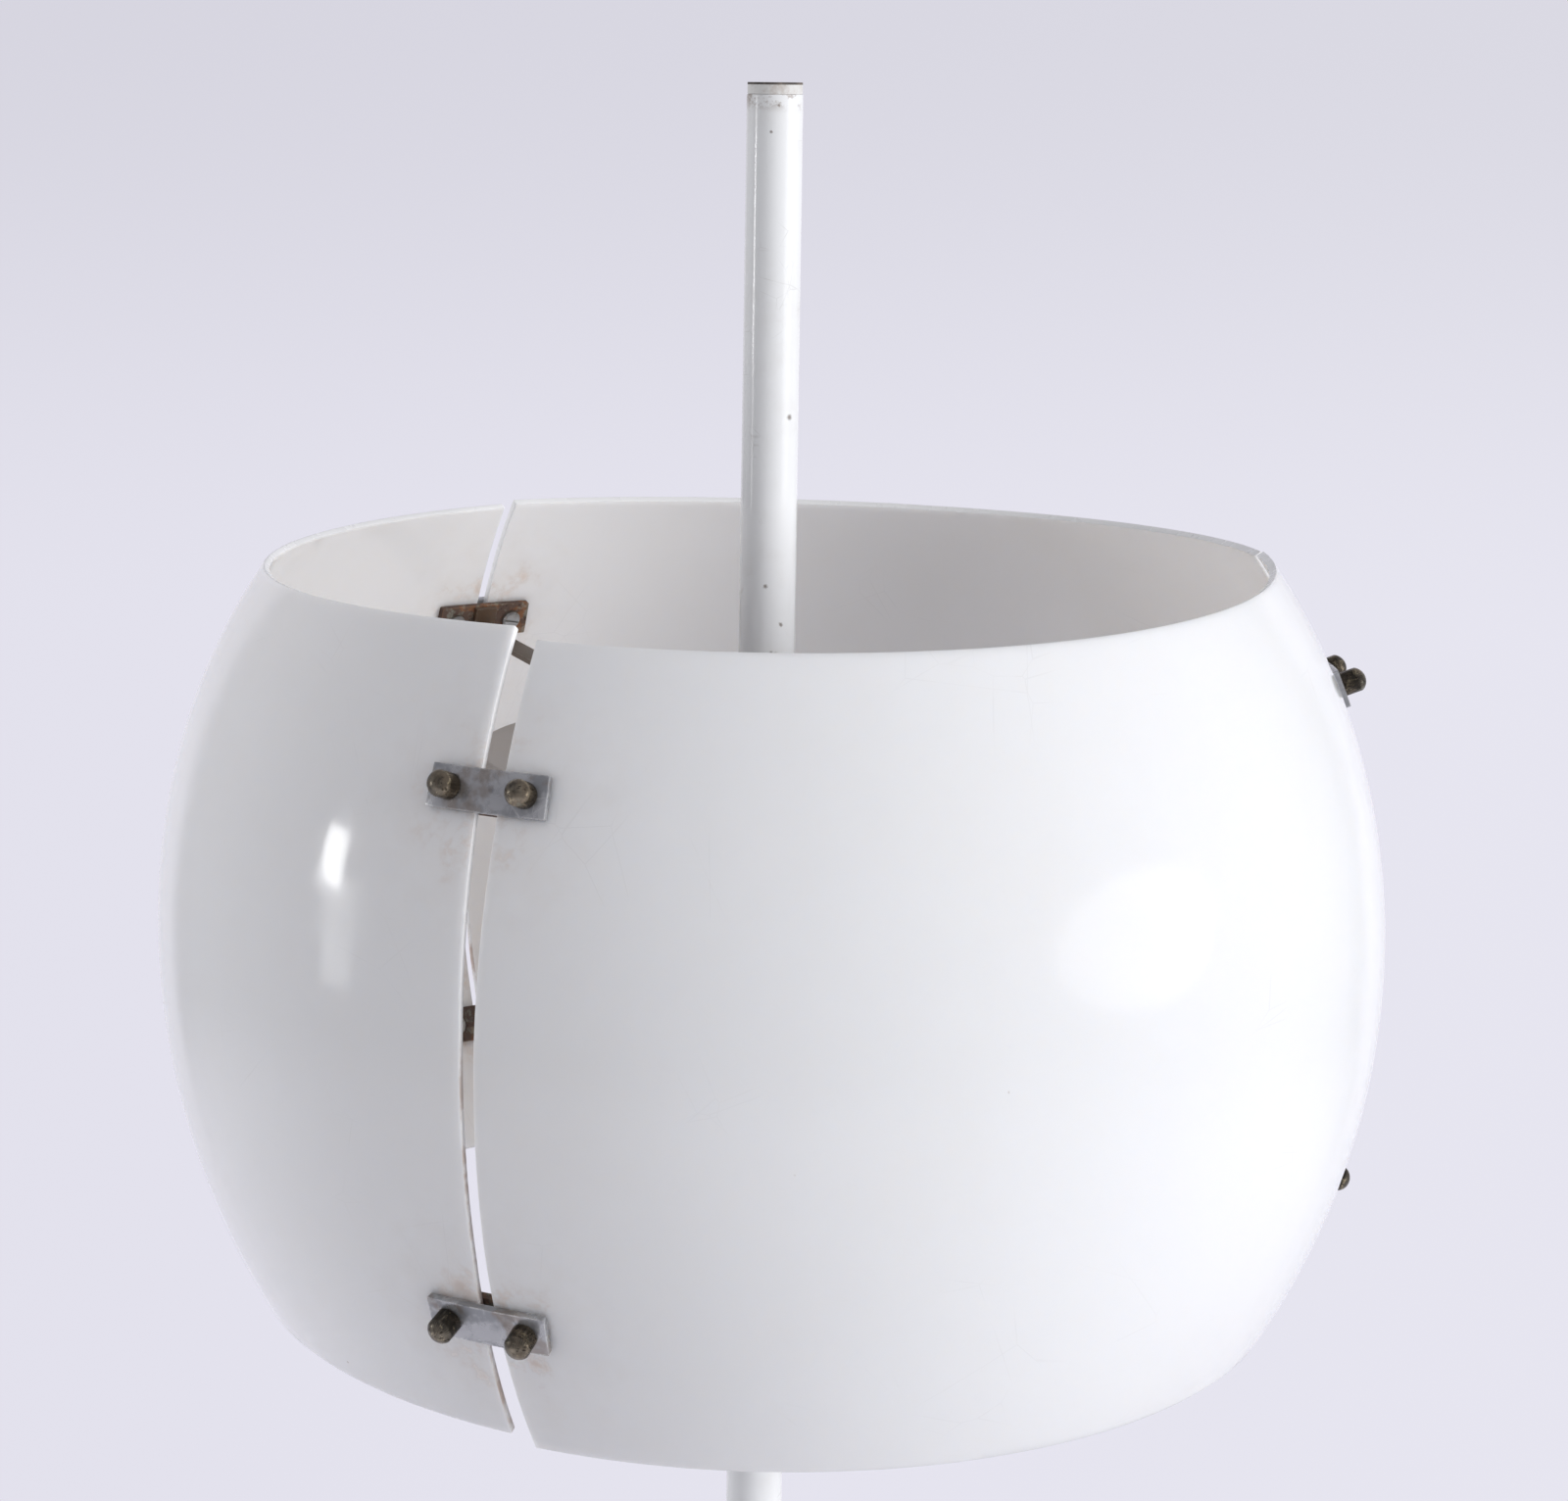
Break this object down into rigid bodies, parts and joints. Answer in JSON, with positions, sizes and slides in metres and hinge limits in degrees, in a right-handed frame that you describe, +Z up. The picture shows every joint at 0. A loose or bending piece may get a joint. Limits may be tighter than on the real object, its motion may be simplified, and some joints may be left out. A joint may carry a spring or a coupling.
{
  "type": "tension pole lamp",
  "caption": "Standing pole lamp with a telescoping sprung pole and a barrel shade of bowed opal acrylic panels bolted together with links.",
  "frame": {"origin": "middle of the foot's underside, on the floor", "axes": "+Z up along the pole, -Y towards the front, +X to the right as seen from the front"},
  "size_m": [0.5398, 0.5399, 1.7487],
  "materials": {
    "rubber_mat": "matt",
    "foot_lacquer": "satin white lacquer",
    "black_plastic": "matt",
    "button_plastic": "semi-gloss",
    "screw_steel": "dull",
    "chrome_tube": "polished",
    "knob_plastic": "matt",
    "spring_steel": "bright drawn",
    "pole_lacquer": "glossy white lacquer, chipped",
    "plug_plastic": "worn",
    "pad_rubber": "matt",
    "collar_steel": "satin",
    "taupe_lacquer": "semi-matt",
    "strap_steel": "dark, tarnished",
    "opal_acrylic": "polished opal",
    "nut_brass": "tarnished",
    "opal_glass": "opal",
    "cap_aluminium": "plain",
    "link_aluminium": "satin, aged",
    "rusty_steel": "rusted"
  },
  "bodies": {
    "base": {"foot_mat": "rubber_mat", "foot_plate": "foot_lacquer", "cord_gland": "black_plastic", "pole_socket": "foot_lacquer", "socket_screws": "screw_steel", "socket_set_screw": "screw_steel", "lower_tube": "chrome_tube", "tube_guide": "black_plastic", "switch_housing": "black_plastic"},
    "switch_button": {"switch_button": "button_plastic"},
    "height_collar": {"height_collar": "chrome_tube", "tension_spring": "spring_steel"},
    "height_knob": {"height_knob": "knob_plastic"},
    "pole": {"pole_tube": "pole_lacquer", "pole_guide": "black_plastic", "top_plug": "plug_plastic", "ceiling_pad": "pad_rubber"},
    "shade_collar": {"shade_collar": "collar_steel"},
    "shade_knob": {"shade_knob": "knob_plastic"},
    "shade": {"shade_hub": "taupe_lacquer", "hub_screws": "screw_steel", "lamp_disc": "taupe_lacquer", "arm_screws": "screw_steel", "arm_nuts": "screw_steel", "arm_right": "strap_steel", "arm_back_left": "strap_steel", "arm_front_left": "strap_steel", "panel_back": "opal_acrylic", "panel_left": "opal_acrylic", "panel_front": "opal_acrylic", "lampholder_1": "black_plastic", "lampholder_2": "black_plastic", "lampholder_3": "black_plastic", "holder_nuts": "nut_brass", "bulb_1": "opal_glass", "bulb_2": "opal_glass", "bulb_3": "opal_glass", "bulb_caps": "cap_aluminium", "upper_outer_link_right": "link_aluminium", "upper_outer_link_back_left": "link_aluminium", "upper_outer_link_front_left": "link_aluminium", "upper_inner_link_right": "rusty_steel", "upper_inner_link_back_left": "rusty_steel", "upper_inner_link_front_left": "rusty_steel", "lower_outer_link_right": "link_aluminium", "lower_outer_link_back_left": "link_aluminium", "lower_outer_link_front_left": "link_aluminium", "lower_inner_link_right": "rusty_steel", "lower_inner_link_back_left": "rusty_steel", "lower_inner_link_front_left": "rusty_steel", "upper_link_bolts": "screw_steel", "lower_link_bolts": "screw_steel", "upper_link_nuts": "nut_brass", "lower_link_nuts": "nut_brass"}
  },
  "joints": [
    {"name": "height_slide", "type": "slide", "parent": "base", "child": "height_collar", "axis": [0, 0, 1], "range_m": [0, 0.85]},
    {"name": "pole_spring", "type": "slide", "parent": "height_collar", "child": "pole", "axis": [0, 0, 1], "range_m": [-0.025, 0.02], "stiffness_N_per_m": 1950, "springref_m": 0.02945, "deforming": ["tension_spring"]},
    {"name": "height_knob_turn", "type": "hinge", "parent": "height_collar", "child": "height_knob", "pos_m": [0, 0, 0.11], "axis": [0.8192, -0.5736, 0], "range_deg": [0, 360]},
    {"name": "shade_slide", "type": "slide", "parent": "pole", "child": "shade_collar", "axis": [0, 0, 1], "range_m": [-0.15, 0.05]},
    {"name": "shade_knob_turn", "type": "hinge", "parent": "shade_collar", "child": "shade_knob", "pos_m": [0, 0, 1.4035], "axis": [-0.866, 0.5, 0], "range_deg": [0, 360]},
    {"name": "shade_turn", "type": "hinge", "parent": "shade_collar", "child": "shade", "pos_m": [0, 0, 1.4135], "axis": [0, 0, 1], "range_deg": [-170, 170]},
    {"name": "switch_press", "type": "slide", "parent": "base", "child": "switch_button", "axis": [0, 0, -1], "range_m": [0, 0.004], "stiffness_N_per_m": 500, "springref_m": -0.004}
  ]
}
